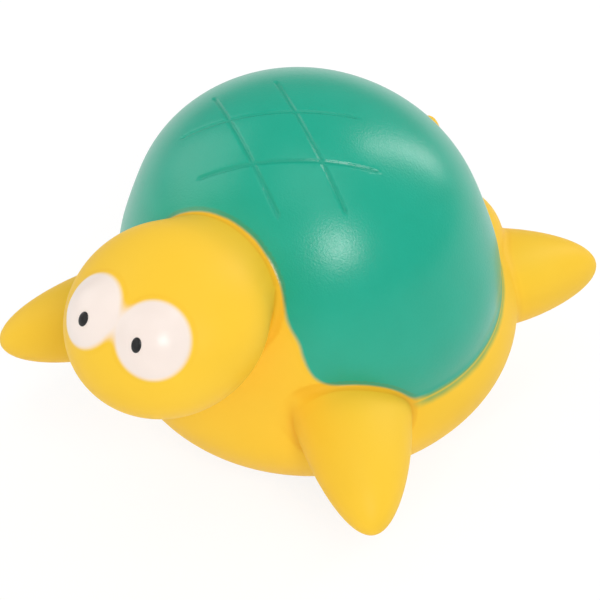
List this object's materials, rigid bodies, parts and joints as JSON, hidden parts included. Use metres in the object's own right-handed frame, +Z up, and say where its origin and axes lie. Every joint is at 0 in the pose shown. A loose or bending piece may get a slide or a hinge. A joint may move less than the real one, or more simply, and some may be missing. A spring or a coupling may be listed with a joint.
{
  "type": "squeaky bath toy",
  "caption": "Hollow soft-vinyl bath toy shaped as a turtle, with a scored domed shell, paddle flippers and a reed squeaker in its flat base that sounds when it is squeezed.",
  "frame": {"origin": "on the table plane, under the shell's middle, on the axis of the squeaker in the base", "axes": "+Z up, -Y towards the head, +X towards the toy's own left flippers"},
  "size_m": [0.0868, 0.1031, 0.07],
  "materials": {
    "yellow_vinyl": "satin soft vinyl",
    "green_paint": "satin sprayed paint on soft vinyl",
    "white_paint": "satin sprayed paint on soft vinyl",
    "black_paint": "gloss",
    "white_plastic": "satin moulding",
    "reed_film": "smooth film"
  },
  "bodies": {
    "toy_body": {"body": "yellow_vinyl", "head": "yellow_vinyl", "left_front_flipper": "yellow_vinyl", "right_front_flipper": "yellow_vinyl", "left_rear_flipper": "yellow_vinyl", "right_rear_flipper": "yellow_vinyl", "tail": "yellow_vinyl", "left_eye": "white_paint", "right_eye": "white_paint", "left_pupil": "black_paint", "right_pupil": "black_paint", "squeaker_housing": "white_plastic", "reed_block": "white_plastic", "reed_clamp": "white_plastic"},
    "soft_shell": {"shell": "green_paint"},
    "reed": {"reed": "reed_film"}
  },
  "joints": [
    {"name": "shell_squeeze", "type": "slide", "parent": "toy_body", "child": "soft_shell", "axis": [0, 0, -1], "range_m": [0, 0.01], "stiffness_N_per_m": 900, "deforming": ["shell"]},
    {"name": "reed_flutter", "type": "hinge", "parent": "toy_body", "child": "reed", "pos_m": [0, 0.00133, 0.0082], "axis": [1, 0, 0], "range_deg": [0, 5], "stiffness_Nm_per_rad": 0.00001, "deforming": ["reed"]}
  ]
}
